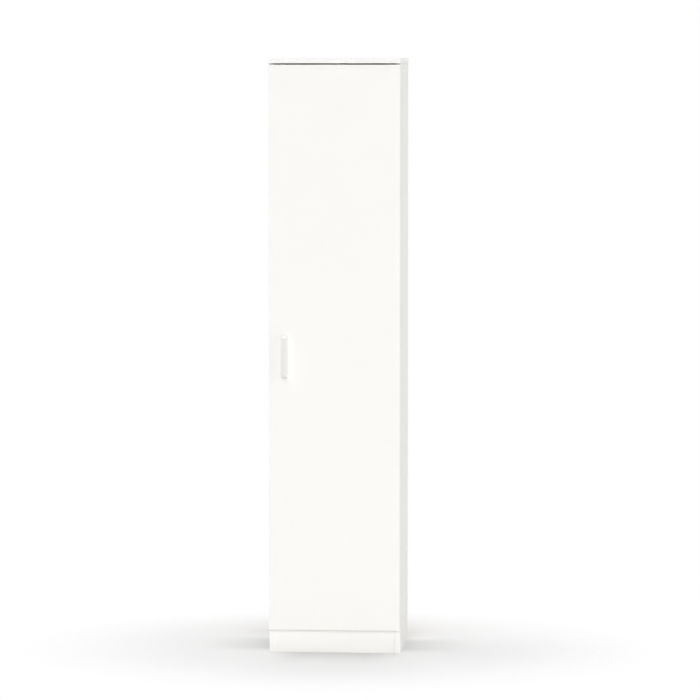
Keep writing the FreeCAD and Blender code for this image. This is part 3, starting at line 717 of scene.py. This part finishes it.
# the light that the bright side and top of the handle throw back onto the door: small lamps in
# front of the door, placed from the middle of the handle
glints = {
    "sideGlint": {"across": 14.0, "up": 0.0, "off": 10.0, "width": 8.0, "height": 118.0,
                  "watts": 0.0007},
    "topGlint": {"across": 4.0, "up": 70.0, "off": 8.0, "width": 14.0, "height": 6.0,
                 "watts": 0.00006},
}
handleLow, handleHigh = boxOf("bow_handle")
for name, glint in glints.items():
    glintData = bpy.data.lights.new(name, "AREA")
    glintData.shape = "RECTANGLE"
    glintData.size = glint["width"] * mm
    glintData.size_y = glint["height"] * mm
    glintData.energy = glint["watts"]
    glintObject = bpy.data.objects.new(name, glintData)
    glintObject.location = Vector(((handleLow[0] + handleHigh[0]) / 2 + glint["across"],
                                   handleHigh[1] - glint["off"],
                                   (handleLow[2] + handleHigh[2]) / 2 + glint["up"])) * mm
    glintObject.rotation_euler = (quarterTurn, 0, 0)
    glintObject.visible_camera = False
    glintObject.visible_glossy = False
    scene.collection.objects.link(glintObject)


# 1 for a ray of the camera, of a reflection or of a look through something clear
def seenDirectly(tree):
    path = addNode(tree, "ShaderNodeLightPath", {}).outputs
    either = calculate(tree, "MAXIMUM", path["Is Camera Ray"], path["Is Glossy Ray"])
    return calculate(tree, "MAXIMUM", either, path["Is Transmission Ray"])


world = bpy.data.worlds.new("whiteRoom")
scene.world = world
world.use_nodes = True
room = world.node_tree
feed(room, room.nodes["Background"], {
    "Color": linear(studio["white"]),
    "Strength": fitRange(room, seenDirectly(room), target=(studio["room"], 1))})


# the painted shade beyond one edge of the cupboard, painted into the floor's colour, as deep as
# "shade" at the edge: it falls off with the distance from it as (1 - distance / reach) to a power,
# and fades along it towards both of its ends. Places are distances from the cupboard's middle
def paintedShadeBeyond(tree, outwards, edge, alongside, end):
    near = fitRange(tree, outwards, (edge, edge + studio["shadeReach"]), (1, 0))
    within = fitRange(tree, alongside, (end - studio["shadeFade"], end), (studio["shade"], 0),
                      "SMOOTHSTEP")
    return calculate(tree, "MULTIPLY", calculate(tree, "POWER", near, studio["shadePower"]), within)


# where the sides stand on the floor, from front to rear
sideFront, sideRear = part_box("side_edge_bands")[0][1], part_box("right_side_panel")[1][1]
sideMiddle, sideHalf = (sideFront + sideRear) / 2, (sideRear - sideFront) / 2

floorMaterial = bpy.data.materials.new("paleFloor")
floorMaterial.use_nodes = True
tree = floorMaterial.node_tree
tree.nodes.remove(tree.nodes["Principled BSDF"])
seen = seenDirectly(tree)
position = addNode(tree, "ShaderNodeNewGeometry", {}).outputs["Position"]
where = partsOf(tree, position)
sideways = calculate(tree, "ABSOLUTE", where["X"])
lengthways = calculate(tree, "ABSOLUTE", calculate(tree, "SUBTRACT", where["Y"], sideMiddle))
shade = calculate(tree, "MAXIMUM",
                  paintedShadeBeyond(tree, sideways, cadHigh[0], lengthways, sideHalf),
                  paintedShadeBeyond(tree, lengthways, sideHalf, sideways, cadHigh[0]))
# painted shade: near the cupboard, rays that see the floor directly get its colour blended towards
# black
matt = addNode(tree, "ShaderNodeBsdfDiffuse", {
    "Color": blend(tree, calculate(tree, "MULTIPLY", shade, seen), linear(studio["floor"]),
                   linear(studio["paintedShadeColour"]))})
stretched = addNode(tree, "ShaderNodeVectorMath", {
    0: position, 1: (1, studio["clearSooner"], 1),
    2: (0, studio["clearAhead"] * studio["clearSooner"], 0)}, operation="MULTIPLY_ADD")
distance = addNode(tree, "ShaderNodeVectorMath", {
    0: stretched.outputs["Vector"]}, operation="LENGTH").outputs["Value"]
away = fitRange(tree, distance, studio["clear"], curve="SMOOTHSTEP")
white = addNode(tree, "ShaderNodeEmission", {"Strength": 1.0})
floorMix = addNode(tree, "ShaderNodeMixShader", {
    0: calculate(tree, "MULTIPLY", away, seen), 1: matt.outputs[0], 2: white.outputs[0]})
feed(tree, tree.nodes["Material Output"], {"Surface": floorMix.outputs[0]})

reach = studio["floorReach"]
floorMesh = bpy.data.meshes.new("floor")
floorMesh.from_pydata([(-reach, -reach, 0), (reach, -reach, 0), (reach, reach, 0),
                       (-reach, reach, 0)], [], [(0, 1, 2, 3)])
floorMesh.materials.append(floorMaterial)
floor = bpy.data.objects.new("floor", floorMesh)
scene.collection.objects.link(floor)
print("studio set")
